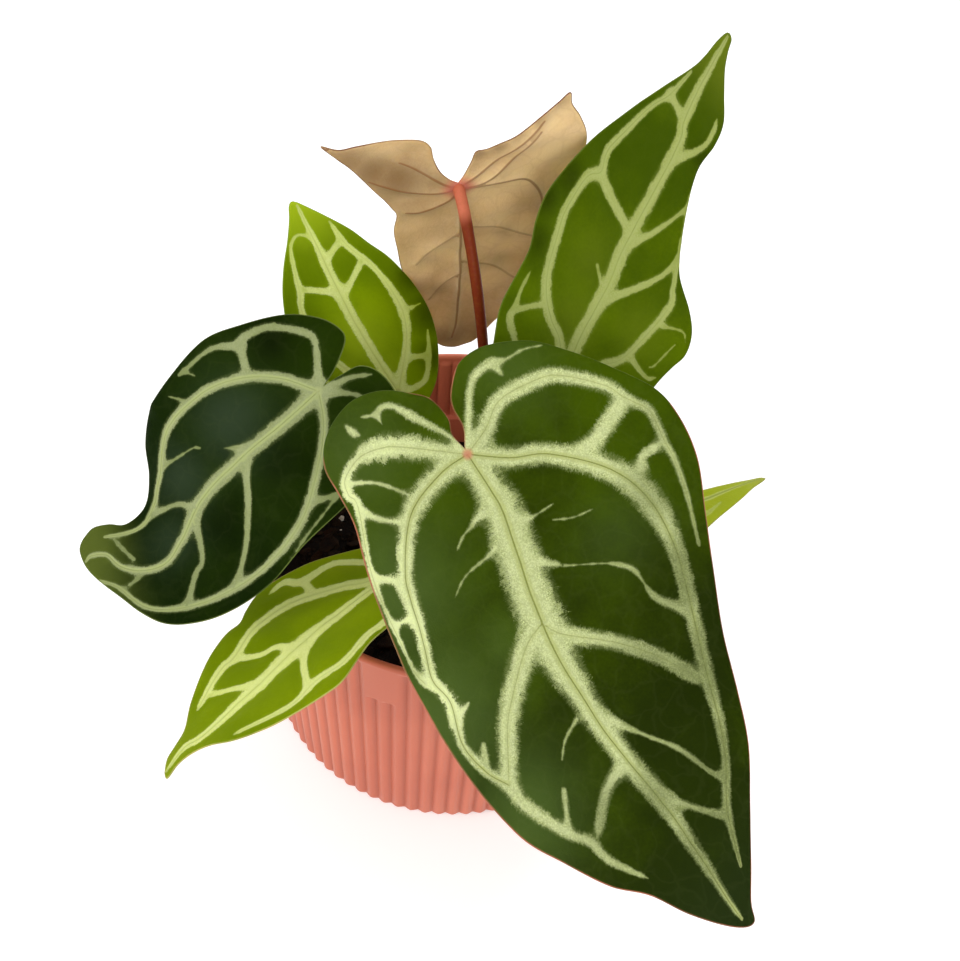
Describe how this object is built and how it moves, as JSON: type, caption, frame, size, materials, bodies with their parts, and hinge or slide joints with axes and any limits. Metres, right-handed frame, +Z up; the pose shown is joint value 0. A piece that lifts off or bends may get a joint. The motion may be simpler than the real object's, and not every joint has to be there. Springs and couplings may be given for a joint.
{
  "type": "potted anthurium",
  "caption": "Potted anthurium with heart-shaped, pale-veined leaves on long petioles, standing in a ribbed, straight-sided plastic cover pot filled with dark potting mix.",
  "frame": {"origin": "centre of the pot's flat underside, on the surface it stands on", "axes": "+Z up along the pot's axis; -Y is the front, over which the largest leaf hangs; +X is to the right seen from the front"},
  "size_m": [0.2026, 0.2239, 0.215],
  "materials": {
    "pot": "matte",
    "mix": "matte",
    "crown": "matte",
    "petiole": "satin",
    "blade_front": "satin",
    "blade_left": "satin",
    "blade_back_left": "satin",
    "blade_back_right": "satin",
    "blade_new": "satin",
    "blade_low_left": "satin",
    "blade_right": "satin"
  },
  "bodies": {
    "root": {"cover_pot": "pot", "potting_mix": "mix", "crown": "crown", "blade_front": "blade_front", "petiole_front": "petiole", "blade_left": "blade_left", "petiole_left": "petiole", "blade_back_left": "blade_back_left", "petiole_back_left": "petiole", "blade_back_right": "blade_back_right", "petiole_back_right": "petiole", "blade_new": "blade_new", "petiole_new": "petiole", "blade_low_left": "blade_low_left", "petiole_low_left": "petiole", "blade_right": "blade_right", "petiole_right": "petiole"}
  },
  "joints": []
}
